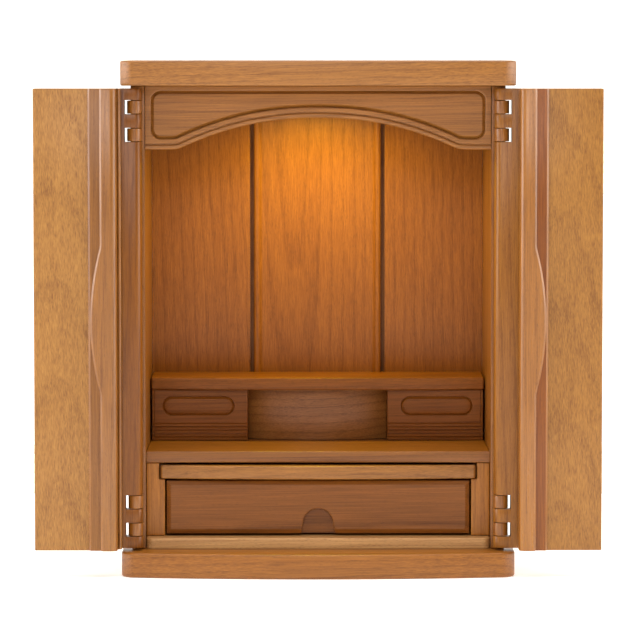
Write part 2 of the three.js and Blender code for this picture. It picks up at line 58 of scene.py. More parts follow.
# %% Set up the camera
CAMERA_PLACE = (-0.0199, -4.2043, 0.5694)
CAMERA_TARGET = (0.0019, -0.1146, 0.2794)
lens = bpy.data.cameras.new("long lens")
lens.lens = 212.7
lens.sensor_width = 36
camera = bpy.data.objects.new("camera", lens)
bpy.context.scene.collection.objects.link(camera)
camera.location = CAMERA_PLACE
look = Vector(CAMERA_TARGET) - Vector(CAMERA_PLACE)
camera.rotation_euler = look.to_track_quat("-Z", "Y").to_euler()
lens.clip_end = 50
bpy.context.scene.camera = camera
print("camera distance in metres:", round(look.length, 3))

# %% [markdown]
# ## Measuring in millimetres
# A cabinet maker thinks in millimetres, so every shape below is worked out in them and turned into
# metres once, when its mesh is made. Positions are read from the model's own nodes.

# %% Read a node's box
MM = 0.001


def corners(node):
    """Lowest and highest corner of a node of the model, in millimetres."""
    low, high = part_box(node)
    return np.array(low) / MM, np.array(high) / MM


# %% [markdown]
# ## Turning numbers into a mesh
# Almost every piece is a closed band of rings: each ring is a loop of points, neighbours are joined by
# four-sided faces, and the two open ends are closed. A ring can be a cross-section that changes along
# the piece, which suits boards, mouldings and doors alike. Points that fall together are merged, so a
# step between two sections at the same height leaves no empty faces behind.

# %% Join rings into a closed piece
def loft(rings):
    """Rings of shape (stations, points, 3): face (k, i) joins points i and i+1 of rings k and k+1."""
    stations, count = rings.shape[:2]
    here = np.arange(count)
    after = (here + 1) % count
    first = (np.arange(stations - 1) * count)[:, None]
    sides = np.stack([first + here, first + after, first + count + after, first + count + here], -1)
    ends = [list(range(count - 1, -1, -1)), list(range((stations - 1) * count, stations * count))]
    return rings.reshape(-1, 3), sides.reshape(-1, 4).tolist() + ends


def mirror(points, faces):
    """The same piece on the other side: x changes sign and each face turns round to stay outward."""
    return points * [-1, 1, 1], [face[::-1] for face in faces]


# %% Make a piece of the cabinet
CREASE = math.radians(28)


def make(name, shape, finish, body, stands_for, pick=None):
    """Puts points in millimetres and faces into a mesh that rides on a body and wears a finish."""
    points, faces = shape
    mesh = bpy.data.meshes.new(name)
    mesh.from_pydata((points * MM).tolist(), [], faces)
    work = bmesh.new()
    work.from_mesh(mesh)
    bmesh.ops.remove_doubles(work, verts=work.verts, dist=2e-6)
    bmesh.ops.recalc_face_normals(work, faces=work.faces)
    work.to_mesh(mesh)
    work.free()
    mesh.shade_smooth()
    mesh.set_sharp_from_angle(angle=CREASE)
    for material in finish if isinstance(finish, list) else [finish]:
        mesh.materials.append(material)
    if pick is not None:
        centres = np.empty(len(mesh.polygons) * 3)
        mesh.polygons.foreach_get("center", centres)
        chosen = pick(centres.reshape(-1, 3) / MM).astype(np.int32)
        mesh.polygons.foreach_set("material_index", chosen)
    piece = bpy.data.objects.new(name, mesh)
    bpy.context.scene.collection.objects.link(piece)
    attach(piece, body)
    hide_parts(*stands_for)


def make_pair(name, shape, finish, stands_for, body="cabinet", pick=None):
    """A right-hand piece and its mirror image; {} in a name stands for the side."""
    for side, half in (("right", shape), ("left", mirror(*shape))):
        worn = finish[side] if isinstance(finish, dict) else finish
        make(name.format(side), half, worn, body.format(side), [stands_for.format(side)], pick=pick)


# %% [markdown]
# ## Outlines
# Boards start as flat outlines. Rounding over an edge with a router is the same outline drawn a little
# further in at each step, so one function that draws an outline further in gives every soft arris.

# %% Draw arcs and set outlines in
def arc(centre, radius, start, end, steps):
    """Points at equal angles from start to end, in degrees, on a circle about centre."""
    angle = np.radians(np.linspace(start, end, steps + 1))
    return np.stack([centre[0] + radius * np.cos(angle), centre[1] + radius * np.sin(angle)], 1)


def set_in(outline, distance):
    """Each corner moves inwards along the two edges' normals until both edges lie distance further in."""
    before, after = outline - np.roll(outline, 1, 0), np.roll(outline, -1, 0) - outline
    area = np.sum(outline[:, 0] * np.roll(outline[:, 1], -1) - np.roll(outline[:, 0], -1) * outline[:, 1])
    turn = np.array([[-1, 1]]) * np.sign(area)
    normal_a = before[:, ::-1] * turn / np.linalg.norm(before, axis=1)[:, None]
    normal_b = after[:, ::-1] * turn / np.linalg.norm(after, axis=1)[:, None]
    share = 1 + np.sum(normal_a * normal_b, 1)[:, None]
    return outline + distance * (normal_a + normal_b) / share


def slab(outline, low, high, arris, axis, steps=4, foot=True):
    """A board of the outline between low and high along the z or y axis, with quarter-round edges.

    At angle a of the quarter circle the outline is set in by arris times 1 - sin(a), and the height
    is arris times 1 - cos(a) from the face. Without a rounded foot, the edge at low stays sharp."""
    angle = np.linspace(0, np.pi / 2, steps + 1)
    inward = arris * (1 - np.sin(angle))
    rise = arris * (1 - np.cos(angle))
    start = (inward, low + rise) if foot else (np.zeros(1), np.full(1, low))
    insets = np.concatenate([start[0], inward[::-1]])
    heights = np.concatenate([start[1], high - rise[::-1]])
    flat = np.stack([set_in(outline, d) for d in insets])
    level = np.broadcast_to(heights[:, None], flat.shape[:2])
    if axis == "z":
        rings = np.stack([flat[..., 0], flat[..., 1], level], -1)
    else:
        rings = np.stack([flat[..., 0], level, flat[..., 1]], -1)
    return loft(rings)


def rectangle(x0, x1, y0, y1):
    """The four corners of a rectangle, in order round it."""
    return np.array([[x0, y0], [x1, y0], [x1, y1], [x0, y1]], float)


# %% [markdown]
# ## Building a finish out of nodes
# A finish is a small graph of nodes. One helper adds a node, and for each of its inputs takes either a
# plain value or the output of another node, so a graph reads like a list of steps.

# %% Add a node
def node(tree, kind, inputs=None, **options):
    """Adds a node; inputs maps a socket's name or number to a value or to another node's output."""
    made = tree.nodes.new(kind)
    for key, value in options.items():
        setattr(made, key, value)
    for key, value in (inputs or {}).items():
        if isinstance(value, bpy.types.NodeSocket):
            tree.links.new(value, made.inputs[key])
        else:
            made.inputs[key].default_value = value
    return made


def sums(tree, operation, *values):
    """The output of one Math node."""
    return node(tree, "ShaderNodeMath", dict(enumerate(values)), operation=operation).outputs[0]


def paint(red, green, blue):
    """A colour given as on a screen, 0 to 255, as the linear light that shaders work in."""
    screen = np.array([red, green, blue]) / 255
    linear = np.where(screen <= 0.04045, screen / 12.92, ((screen + 0.055) / 1.055) ** 2.4)
    return (*linear.tolist(), 1.0)


# %% [markdown]
# ## Wood
# The boards are an open-pored hardwood with long grain lines and short brown pore dashes. Wood is solid,
# so its figure is too: growth rings are cylinders about the heart of the tree, and a board is a cut
# through them. Working it out in space, and not on the surface, makes faces, edges and end grain agree.
# The grain runs along the group's own Z axis, and each board turns and moves the pattern its own way.

# %% Build the wood figure
def wood_figure():
    """A node group from a place in the tree to colour, roughness and height.

    Ring = fraction of (distance to the heart + slow wander) / ring width, raised to a high power, so that
    each ring ends in a fine dark line. Fibre is noise drawn out along the grain, fine and coarse. Pores
    are stretched cells: a dash where a cell's centre is near, crowding along the ring lines. Tone mixes
    pale to deep by ring, fibre and broad tone, and the pores lay their own colour over it."""
    group = bpy.data.node_groups.new("wood figure", "ShaderNodeTree")
    sockets = group.interface.new_socket
    for name, kind, value in [
        ("Place", "NodeSocketVector", None), ("Pale", "NodeSocketColor", (0.5, 0.3, 0.1, 1)),
        ("Deep", "NodeSocketColor", (0.3, 0.15, 0.05, 1)), ("Pore", "NodeSocketColor", (0.1, 0.04, 0.01, 1)),
        ("Ring Width", "NodeSocketFloat", 9.0), ("Ring Depth", "NodeSocketFloat", 0.5),
        ("Wander", "NodeSocketFloat", 9.0), ("Fibre", "NodeSocketFloat", 1.6),
        ("Fibre Length", "NodeSocketFloat", 75.0), ("Dash Length", "NodeSocketFloat", 6.0),
        ("Dashes", "NodeSocketFloat", 0.45), ("Broad Tone", "NodeSocketFloat", 0.6),
        ("Sheen", "NodeSocketFloat", 0.36),
    ]:
        made = sockets(name=name, in_out="INPUT", socket_type=kind)
        if value is not None:
            made.default_value = value
    sockets(name="Color", in_out="OUTPUT", socket_type="NodeSocketColor")
    sockets(name="Roughness", in_out="OUTPUT", socket_type="NodeSocketFloat")
    sockets(name="Height", in_out="OUTPUT", socket_type="NodeSocketFloat")
    given = group.nodes.new("NodeGroupInput").outputs
    out = group.nodes.new("NodeGroupOutput").inputs
    millimetres = node(group, "ShaderNodeVectorMath", {0: given["Place"], 1: (1000, 1000, 1000)},
                       operation="MULTIPLY").outputs[0]

    def product(vector, factors):
        return node(group, "ShaderNodeVectorMath", {0: vector, 1: factors}, operation="MULTIPLY").outputs[0]

    def stretched(across, along):
        """The place in cells of so many millimetres across and along the grain."""
        share = 1 / along if isinstance(along, int) else sums(group, "DIVIDE", 1.0, along)
        cells = node(group, "ShaderNodeCombineXYZ", {0: 1 / across, 1: 1 / across, 2: share}).outputs[0]
        return product(millimetres, cells)

    def swing(across, along, detail, size):
        """Noise about zero, in cells of so many millimetres across and along the grain, times a size."""
        cloud = node(group, "ShaderNodeTexNoise", {"Vector": stretched(across, along), "Scale": 1.0,
                     "Detail": detail, "Roughness": 0.55}).outputs[0]
        return sums(group, "MULTIPLY", sums(group, "SUBTRACT", cloud, 0.5), size)

    flat = product(millimetres, (1, 1, 0))
    distance = node(group, "ShaderNodeVectorMath", {0: flat}, operation="LENGTH").outputs["Value"]
    reach = sums(group, "ADD", sums(group, "ADD", distance, swing(50, 260, 2.0, given["Wander"])),
                 swing(6, 40, 2.0, 2.0))
    phase = sums(group, "FRACT", sums(group, "DIVIDE", reach, given["Ring Width"]))
    late = sums(group, "POWER", phase, 5.0)
    release = sums(group, "MINIMUM", sums(group, "MULTIPLY", sums(group, "SUBTRACT", 1.0, phase), 10.0), 1.0)
    line = sums(group, "MULTIPLY", late, release)

    fine = swing(0.9, given["Fibre Length"], 2.0, given["Fibre"])
    coarse = swing(3.6, 120, 2.0, sums(group, "MULTIPLY", given["Fibre"], 0.3))
    broad = swing(26, 240, 2.0, given["Broad Tone"])
    fibres = sums(group, "ADD", fine, coarse)
    tone = sums(group, "ADD", sums(group, "MULTIPLY", line, given["Ring Depth"]), fibres)
    tone = sums(group, "ADD", sums(group, "ADD", tone, broad), 0.4)
    tone = sums(group, "MAXIMUM", sums(group, "MINIMUM", tone, 1.0), 0.0)
    base = node(group, "ShaderNodeMix", {0: tone, 6: given["Pale"], 7: given["Deep"]},
                data_type="RGBA").outputs[2]

    cell = node(group, "ShaderNodeTexVoronoi", {"Vector": stretched(1.0, given["Dash Length"]),
                "Scale": 1.0}).outputs["Distance"]
    dash = node(group, "ShaderNodeMapRange", {0: cell, 1: 0.15, 2: 0.42, 3: 1.0, 4: 0.0}).outputs[0]
    crowd = sums(group, "ADD", sums(group, "ADD", swing(5, 60, 2.0, 2.0), 0.5), line)
    crowd = sums(group, "MAXIMUM", sums(group, "MINIMUM", crowd, 1.0), 0.0)
    mask = sums(group, "MULTIPLY", sums(group, "MULTIPLY", dash, crowd), given["Dashes"])
    colour = node(group, "ShaderNodeMix", {0: mask, 6: base, 7: given["Pore"]}, data_type="RGBA").outputs[2]
    group.links.new(colour, out["Color"])
    gloss = sums(group, "ADD", given["Sheen"], sums(group, "MULTIPLY", tone, 0.08))
    group.links.new(sums(group, "ADD", gloss, sums(group, "MULTIPLY", mask, 0.15)), out["Roughness"])
    group.links.new(sums(group, "SUBTRACT", sums(group, "MULTIPLY", fine, 0.3), mask), out["Height"])
    return group


WOOD = wood_figure()
print("wood figure:", len(WOOD.nodes), "nodes")

# %% [markdown]
# Each board gets its own material with the shared figure inside. The Mapping node turns the grain along
# the board and moves the heart of the tree, so that no two boards show the same cut. A small tilt
# between board and heart draws the long pointed arches that flat-sawn boards have.

# %% Place the figure on a board
UPRIGHT = (0.0, 0.0, 0.0)
ACROSS = (0.0, -math.pi / 2, 0.0)
PORE = (84, 46, 16)
DENT_DEEPEST = 0.0002
woods = {}


def wood(name, pale, deep, grain, heart, tilt=(0.0, 0.0), coat=0.05, gloss=0.4, **figure):
    """A finish with the wood figure: heart moves the pattern in millimetres, tilt leans it in radians.
    Colours are as on a screen, and gloss is the shader's specular level."""
    material = bpy.data.materials.new(name)
    material.use_nodes = True
    tree = material.node_tree
    tree.nodes.clear()
    place = node(tree, "ShaderNodeTexCoord").outputs["Object"]
    turned = node(tree, "ShaderNodeMapping", {"Vector": place, "Rotation": grain}).outputs[0]
    lean = (tilt[0], tilt[1], 0.0)
    moved = node(tree, "ShaderNodeMapping", {"Vector": turned, "Rotation": lean,
                 "Location": tuple(value * MM for value in heart)}).outputs[0]
    cut = node(tree, "ShaderNodeGroup", node_tree=WOOD)
    tree.links.new(moved, cut.inputs["Place"])
    for key, value in {"Pale": paint(*pale), "Deep": paint(*deep), "Pore": paint(*PORE), **figure}.items():
        cut.inputs[key.replace("_", " ")].default_value = value
    dent = node(tree, "ShaderNodeBump", {"Height": cut.outputs["Height"], "Strength": 0.12,
                "Distance": DENT_DEEPEST})
    shader = node(tree, "ShaderNodeBsdfPrincipled", {"Base Color": cut.outputs["Color"],
                  "Roughness": cut.outputs["Roughness"], "Normal": dent.outputs[0]})
    shader.inputs["Coat Weight"].default_value = coat
    shader.inputs["Coat Roughness"].default_value = 0.28
    shader.inputs["Specular IOR Level"].default_value = gloss
    node(tree, "ShaderNodeOutputMaterial", {0: shader.outputs[0]})
    woods[name] = material
    return material


# %% [markdown]
# The cabinet is one kind of timber in several cuts. The door panels are paler and yellower, the solid
# edges of the doors are redder, and the inside is darker because little light gets in.

# %% Choose the timber's colours
door_panel = {side: wood(f"door_panel_{side}", pale, deep, UPRIGHT, heart, tilt=(0.10, 0.03),
                         Ring_Width=11.0, Ring_Depth=0.35, Wander=7.0, Fibre=2.0, Fibre_Length=14.0)
              for side, pale, deep, heart in (("left", (168, 117, 54), (124, 78, 29), (275, 65, 40)),
                                              ("right", (163, 111, 47), (119, 73, 24), (-268, 62, -90)))}
door_edge = {side: wood(f"door_edge_{side}", pale, deep, UPRIGHT, heart, tilt=(0.02, 0.0),
                        gloss=0.55, Sheen=0.26)
             for side, pale, deep, heart in (("left", (154, 100, 42), (112, 64, 18), (120, 30, 0)),
                                             ("right", (164, 106, 44), (120, 70, 18), (-110, 30, 0)))}
door_step = {side: wood(f"door_step_{side}", pale, deep, UPRIGHT, heart, tilt=(0.02, 0.0), Sheen=0.3)
             for side, pale, deep, heart in (("left", (144, 92, 38), (104, 60, 16), (90, 34, 30)),
                                             ("right", (142, 78, 14), (104, 50, 4), (-90, 36, 0)))}
# The left hung leaf is painted darker and redder than the right one. This is painted shade from the folding
# leaf in front of it, which keeps the side light off.
hung_wood_shaded_left = {side: wood(f"hung_wood_{side}", pale, deep, UPRIGHT, heart, tilt=(0.03, 0.0),
                        gloss=0.3, Sheen=0.28)
             for side, pale, deep, heart in (("left", (136, 80, 22), (98, 50, 6), (150, 20, 0)),
                                             ("right", (154, 98, 34), (112, 62, 12), (-130, 26, 0)))}
board_wood = wood("board_wood", (160, 105, 46), (114, 68, 22), ACROSS, (30, 180, 0), tilt=(0.0, 0.03),
                  Ring_Width=8.0)
base_wood = wood("base_wood", (156, 97, 36), (112, 63, 15), ACROSS, (-60, 150, 40), tilt=(0.0, 0.02),
                 Ring_Width=8.0)
# The floor board is much paler and whiter than the other boards. This is partly its own tone and partly a
# painted highlight for the glossy sheen on its low front face.
floor_wood = wood("floor_wood", (208, 158, 98), (162, 112, 62), ACROSS, (90, 90, 0), tilt=(0.0, 0.02))
shelf_wood = wood("shelf_wood", (144, 88, 32), (104, 58, 15), ACROSS, (10, -80, 0), tilt=(0.0, 0.02))
side_wood = wood("side_wood", (156, 97, 34), (112, 62, 14), UPRIGHT, (0, 40, 0), tilt=(0.03, 0.02),
                 gloss=0.55, Sheen=0.28)
valance_wood = wood("valance_wood", (158, 101, 42), (114, 67, 20), ACROSS, (-40, 90, 0),
                    tilt=(0.0, 0.02), Fibre=1.8, Dashes=0.3)
stile_wood = wood("stile_wood", (176, 112, 38), (130, 74, 16), UPRIGHT, (40, 60, 0), tilt=(0.03, 0.02))
inner_wood = wood("inner_wood", (158, 93, 27), (116, 61, 8), UPRIGHT, (20, -60, 0), tilt=(0.05, 0.02),
                  gloss=0.25, Ring_Width=11.0, Ring_Depth=0.5)
inner_across = wood("inner_across", (148, 86, 30), (106, 56, 11), ACROSS, (70, -40, 0),
                    tilt=(0.0, 0.02), coat=0.0, gloss=0.2)
# The bent panel is painted paler and pinker than the other inner wood. This is a painted reflection that
# stands in for the broad glossy highlight across its curve.
bent_wood_and_sheen = wood("bent_wood_and_sheen", (170, 108, 52), (126, 76, 30), ACROSS, (20, -70, 0), tilt=(0.03, 0.05),
                 Ring_Depth=0.7, Sheen=0.28)
drawer_wood = wood("drawer_wood", (142, 83, 25), (96, 51, 9), ACROSS, (75, 30, 0), tilt=(0.0, 0.015),
                   gloss=0.3, Ring_Depth=0.7)
print("timber finishes:", len(woods))

# %% [markdown]
# ## Metal and lamp
# The hinges between the leaves are brass, with a soft brushed gloss. The down-light behind the valance
# is a small white ring with a frosted lens, and the lens itself glows warm.

# %% Build the brass, ring and lens finishes
def plain_finish(name, colour, roughness, metallic=0.0, glow=None, grain=1200.0, spread=0.06):
    """A finish with fine noise in its colour and roughness; glow is a colour and a strength."""
    material = bpy.data.materials.new(name)
    material.use_nodes = True
    tree = material.node_tree
    tree.nodes.clear()
    place = node(tree, "ShaderNodeTexCoord").outputs["Object"]
    speck = node(tree, "ShaderNodeTexNoise", {"Vector": place, "Scale": grain,
                 "Detail": 3.0}).outputs[0]
    darker = tuple(part * (1 - 3 * spread) for part in paint(*colour)[:3]) + (1.0,)
    base = node(tree, "ShaderNodeMix", {0: speck, 6: darker, 7: paint(*colour)}, data_type="RGBA").outputs[2]
    rough = node(tree, "ShaderNodeMapRange", {0: speck, 3: roughness - spread,
                 4: roughness + spread}).outputs[0]
    shader = node(tree, "ShaderNodeBsdfPrincipled", {"Base Color": base, "Roughness": rough,
                  "Metallic": metallic})
    if glow:
        light = node(tree, "ShaderNodeMix", {0: speck, 6: paint(*glow[0]), 7: paint(255, 236, 200)},
                     data_type="RGBA").outputs[2]
        tree.links.new(light, shader.inputs["Emission Color"])
        shader.inputs["Emission Strength"].default_value = glow[1]
    node(tree, "ShaderNodeOutputMaterial", {0: shader.outputs[0]})
    return material


brass = plain_finish("brass", (214, 204, 180), 0.3, metallic=1.0)
lamp_ring = plain_finish("lamp_ring", (226, 222, 212), 0.45)
lamp_glow = plain_finish("lamp_glow", (255, 226, 176), 0.3, glow=((255, 206, 130), 6.0))
print("metal and lamp finishes ready")

# %% [markdown]
# Every node of the model that stays in view gets one of these finishes in place of its plain colour.

# %% Dress the model's own nodes
NAMED = {"base_board": base_wood, "floor_board": floor_wood, "middle_shelf": shelf_wood,
         "valance": valance_wood, "platform_centre": bent_wood_and_sheen}


def finish_of(name):
    """The finish that a node of the model wears, by what it is."""
    side = "left" if name.endswith("left") else "right"
    if name.startswith("door_folding"):
        return door_panel[side]
    if name.startswith("door_hung"):
        return hung_wood_shaded_left[side]
    if name.startswith("hinge"):
        return brass
    if name.startswith("lamp"):
        return lamp_glow if name == "lamp_lens" else lamp_ring
    if name.startswith("drawer"):
        return drawer_wood
    if name.startswith("side_board"):
        return side_wood
    if name.startswith("stile"):
        return stile_wood
    if name in NAMED:
        return NAMED[name]
    if name.startswith("back"):
        return inner_wood
    if name.startswith(("platform", "upper", "runner")):
        return inner_across
    return board_wood


for name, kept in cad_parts.items():
    kept.data.materials.clear()
    kept.data.materials.append(finish_of(name))
print("nodes dressed:", len(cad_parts))

# %% [markdown]
# ## Top, base and floor boards
# The top and base are thick boards whose front edge is bowed and whose front corners are rounded. A
# maker bandsaws the bow to a template and rounds the arrises with a router, so here the outline is a
# shallow circle between two corner arcs, and the slab function rounds its edges.

# %% Saw the bowed outline
def bowed(half, front_end, rise, back, corner, steps=48):
    """Outline seen from above. The bow is a circle through both front ends: its radius is
    (half squared + rise squared) / (2 rise), and its height at x follows from that radius."""
    radius = (half**2 + rise**2) / (2 * rise)
    x = np.linspace(-half + corner, half - corner, steps + 1)
    front = np.stack([x, front_end - rise + radius - np.sqrt(radius**2 - x**2)], 1)
    shoulder = front[-1, 1] + corner
    right = arc((half - corner, shoulder), corner, -90, 0, 16)[1:]
    left = arc((corner - half, shoulder), corner, 180, 270, 16)[:-1]
    return np.concatenate([left, front, right, [[half, back], [-half, back]]])


# %% Make the three boards
BOW, BOARD_CORNER, FLOOR_CORNER, NO_BOW = 17, 18, 8, 0.01
for name in ("base_board", "top_board"):
    low, high = corners(name)
    outline = bowed(high[0], low[1] + BOW, BOW, high[1], BOARD_CORNER)
    make(f"{name}_wood", slab(outline, low[2], high[2], 2.2, "z"), finish_of(name), "cabinet",
         [name])
low, high = corners("floor_board")
outline = bowed(high[0], low[1], NO_BOW, high[1], FLOOR_CORNER, steps=2)
make("floor_board_wood", slab(outline, low[2], high[2], 1.8, "z", foot=False), floor_wood, "cabinet",
     ["floor_board"])
print("boards: 3, bow", BOW, "mm")

# %% [markdown]
# ## Side boards and their wooden knuckles
# Each door hangs on fingers of wood that grow out of the side board's front edge and close round the
# same upright axis as the leaf's rounded edge. A knuckle is a full round with an arm that runs back
# into the board, so its outline is most of a circle joined to a square root.

# %% Find the knuckles
def solid_sum(*shapes):
    """Several closed shapes as one piece: points are stacked, and each shape's faces are renumbered."""
    points, faces, start = [], [], 0
    for shape_points, shape_faces in shapes:
        points.append(shape_points)
        faces += [[index + start for index in face] for face in shape_faces]
        start += len(shape_points)
    return np.concatenate(points), faces


hung_low, hung_high = corners("door_hung_leaf_right")
side_low, side_high = corners("side_board_right")
BARREL = (hung_high[1] - hung_low[1]) / 2
AXIS = np.array([hung_low[0] + BARREL, hung_low[1] + BARREL])
KNUCKLE_TALL = 14.0
KNUCKLE_FIRST, KNUCKLE_PITCH = 13.2, 30.0
first_foot, last_foot = hung_low[2] + KNUCKLE_FIRST, hung_high[2] - KNUCKLE_FIRST - KNUCKLE_TALL
knuckle_feet = [first_foot, first_foot + KNUCKLE_PITCH, last_foot - KNUCKLE_PITCH, last_foot]
SIDE_THICK, ROOT_GAP = 15.0, 1.5
board_front = side_low[1] + 2 * BARREL + ROOT_GAP
print("hinge axis in mm:", AXIS, "knuckles at", [round(z, 1) for z in knuckle_feet])

# %% Make the side boards
inner_face = side_low[0]
outer_face = inner_face + SIDE_THICK
touch = math.degrees(math.acos((outer_face - AXIS[0]) / BARREL))
knuckle = np.concatenate([
    [[AXIS[0] - BARREL, board_front + 1]], arc(AXIS, BARREL, 180, 360 + touch, 28),
    [[outer_face, board_front + 1]],
])
outline = rectangle(inner_face, outer_face, board_front, side_high[1])
plank = slab(outline, side_low[2], side_high[2], 1.0, "z")
fingers = [slab(knuckle, z, z + KNUCKLE_TALL, 0.7, "z") for z in knuckle_feet]
side_shape = solid_sum(plank, *fingers)
make_pair("side_board_{}_wood", side_shape, side_wood, "side_board_{}")
print("side boards with", len(fingers), "knuckles each")

# %% [markdown]
# ## Inner back
# Three upright panels make the back of the altar space. The middle one stands proud between two dark
# gaps, and a rounded bead runs down each of its edges. Its section is one closed line, and the panel is
# that line drawn straight up.

# %% Make the three panels
BEAD, PANEL_THICK = 9.5, 6.0
low, high = corners("back_panel_centre")
face = high[1] - PANEL_THICK
rise = face - low[1]
half = high[0]
crest = half - 0.42 * BEAD
round_part = [crest, face] + [half - crest, -rise] * arc((0, 0), 1, 140, 0, 21)
right_edge = np.concatenate([
    [[half - BEAD - 0.6, face], [half - BEAD, face - 0.15]], round_part, [[half, high[1]]],
])
section = np.concatenate([right_edge[::-1] * [-1, 1], right_edge])
make("centre_panel_wood", slab(section, low[2], high[2], 0.0001, "z", steps=1), inner_wood, "cabinet",
     ["back_panel_centre"])
low, high = corners("back_panel_right")
panel = slab(rectangle(low[0], high[0], low[1], high[1]), low[2], high[2], 1.0, "z")
make_pair("back_panel_{}_wood", panel, inner_wood, "back_panel_{}")
print("bead rise in mm:", round(float(rise), 2))

# %% [markdown]
# ## Carved relief
# The valance, the platform boxes and the drawer front are flat boards with shallow routed lines. Their
# front is a height map: columns run along the board, rows run up it, and a function says how deep the
# tool has gone at each crossing. Columns and rows crowd together where a line is cut and spread out on
# the plain parts. Where a board's lower edge is curved, its rows follow the curve.

# %% Cut a relief into a board
def relief_board(x, z, depth, front, back):
    """Columns x, heights z of shape (columns, rows), and depth of the same shape behind the front plane.
    Each column becomes a ring: up the carved front and down the flat back."""
    columns, rows = z.shape
    wide = np.broadcast_to(x[:, None], z.shape)
    carved = np.stack([wide, front + depth, z], -1)
    rear = np.stack([wide[:, [-1, 0]], np.full((columns, 2), back), z[:, [-1, 0]]], -1)
    return loft(np.concatenate([carved, rear], 1))


def steps_from(*parts):
    """Joins stretches (start, end, spacing) into one rising list of positions."""
    stretches = [np.linspace(a, b, max(2, round((b - a) / step) + 1)) for a, b, step in parts]
    return np.unique(np.concatenate(stretches).round(4))


def soft_edge(distance, radius):
    """Depth of a quarter-round arris at a distance d from the edge:
    radius - sqrt(radius^2 - (radius - d)^2)."""
    short = np.clip(radius - distance, 0, radius)
    return radius - np.sqrt(radius**2 - short**2)


def cove(distance, width, deep):
    """A round-bottomed groove from distance 0 to width: deep times (1 - t^2)^0.7, where t goes from -1
    to 1 across it."""
    t = np.clip(distance / width * 2 - 1, -1, 1)
    return deep * (1 - t**2) ** 0.7


def undercut(distance, width, deep):
    """A groove with one upright wall, at distance 0, and a floor that rises to the face at its width:
    deep times (1 - t^1.6), where t is the distance over the width."""
    t = np.clip(distance / width, 0, 1)
    return np.where(distance > 0, deep * (1 - t**1.6), 0.0)


# %% [markdown]
# ## Valance
# The arched board under the top is framed by one continuous groove with rounded corners, and a bead with
# a fine quirk, a narrow square groove, follows its lower edge. The lower edge falls away from the crown
# as a power of the distance from the middle and eases into a level foot, which gives the long S-curve.

# %% Draw the valance's lower edge
low, high = corners("valance")
FOOT, CROWN, SWEEP, POWER = low[2], 498.0, 146.3, 2.15


def lower_edge(x):
    """Height of the edge: crown minus a power of x, then the smooth larger of that and the foot."""
    over = CROWN - (CROWN - FOOT - 3) * (np.abs(x) / SWEEP) ** POWER - FOOT
    return FOOT + (over + np.sqrt(over**2 + 4)) / 2


# %% Carve the valance
half, top = high[0], high[2]
ends = steps_from((half - 22, half, 0.4))
x = np.concatenate([-ends[::-1], steps_from((22 - half, half - 22, 2.2))[1:-1], ends])
slope = (lower_edge(x + 0.5) - lower_edge(x - 0.5))[:, None]
stretch = np.sqrt(1 + slope**2)
foot_rows = lower_edge(x)[:, None] + steps_from((0, 17, 0.3))[None] * stretch
head_rows = top - steps_from((0, 10, 0.4))[None, ::-1] + 0 * slope
share = np.linspace(0, 1, 82)[None, 1:-1]
middle_rows = foot_rows[:, -1:] * (1 - share) + head_rows[:, :1] * share
z = np.concatenate([foot_rows, middle_rows, head_rows], 1)
rise = (z - lower_edge(x)[:, None]) / stretch
QUIRK, BAND, FIELD_RADIUS, BORDER, HEAD, FIELD_FOOT = 5.1, 6.3, 11.0, 6.6, 5.5, 11.6
beside = half - BORDER - np.abs(x)[:, None]
level = np.minimum(top - HEAD - z, rise - FIELD_FOOT)
corner = np.hypot(np.maximum(FIELD_RADIUS - beside, 0), np.maximum(FIELD_RADIUS - level, 0))
inward = FIELD_RADIUS - corner
depth = undercut(inward, 3.2, 2.7) + soft_edge(np.maximum(-inward, 0), 1.5) * (rise > BAND)
depth = np.maximum(depth, soft_edge(top - z, 0.8))
depth = np.maximum(depth, soft_edge(half - np.abs(x)[:, None], 0.8))
depth = np.maximum(depth, 2.2 * ((rise > QUIRK) & (rise < BAND)))
depth = np.maximum(depth, soft_edge(rise, 2.4) + soft_edge(QUIRK - rise, 1.8) * (rise < QUIRK))
depth = np.maximum(depth, soft_edge(rise - BAND, 1.4) * (rise > BAND))
shape = relief_board(x, z, depth, low[1], high[1])
make("valance_board", shape, valance_wood, "cabinet", ["valance"])
print("valance grid:", z.shape, "deepest cut in mm:", round(float(depth.max()), 2))

# %% [markdown]
# ## Shelves, stiles and the pull-out board
# The plain boards inside only need true edges. The stiles are notched near the top, so that the
# pull-out board's nosing sits inside their line with an even gap round it.

# %% Make the shelves and the nosing
low, high = corners("upper_shelf")
outline = bowed(high[0], low[1] + 8, 8, high[1], 2)
make("upper_shelf_wood", slab(outline, low[2], high[2], 1.5, "z"), inner_across, "cabinet",
     ["upper_shelf"])
low, high = corners("middle_shelf")
outline = rectangle(low[0], high[0], low[1], high[1])
make("middle_shelf_wood", slab(outline, low[2], high[2], 1.5, "z"), shelf_wood, "cabinet",
     ["middle_shelf"])
low, high = corners("tray_nosing")
outline = bowed(high[0], low[1] + 11, 11, high[1], 3)
make("tray_nosing_wood", slab(outline, low[2], high[2], 2.0, "z"), board_wood, "cabinet",
     ["tray_nosing"])

# %% Notch the stiles
low, high = corners("stile_right")
nosing_low, nosing_high = corners("tray_nosing")
notch_side, notch_foot = nosing_high[0] + 1.6, nosing_low[2] - 0.8
outline = np.array([
    [low[0], low[2]], [high[0], low[2]], [high[0], high[2]], [notch_side, high[2]],
    [notch_side, notch_foot], [low[0], notch_foot],
])
shape = slab(outline, low[1], high[1], 1.3, "y")
make_pair("stile_{}_wood", shape, stile_wood, "stile_{}")
print("notch beside the nosing in mm:", round(float(notch_side - nosing_high[0]), 2))

# %% [markdown]
# ## Drawer front
# The drawer front is one board whose edge is planed to a slope all the way round, so the slopes meet in
# a mitre at the corners. The arched finger recess is cut up from the lower edge. In the height map, rows
# that would fall inside the arch stop at its line, and each ring then goes in along the arch's ceiling
# and down its back wall.

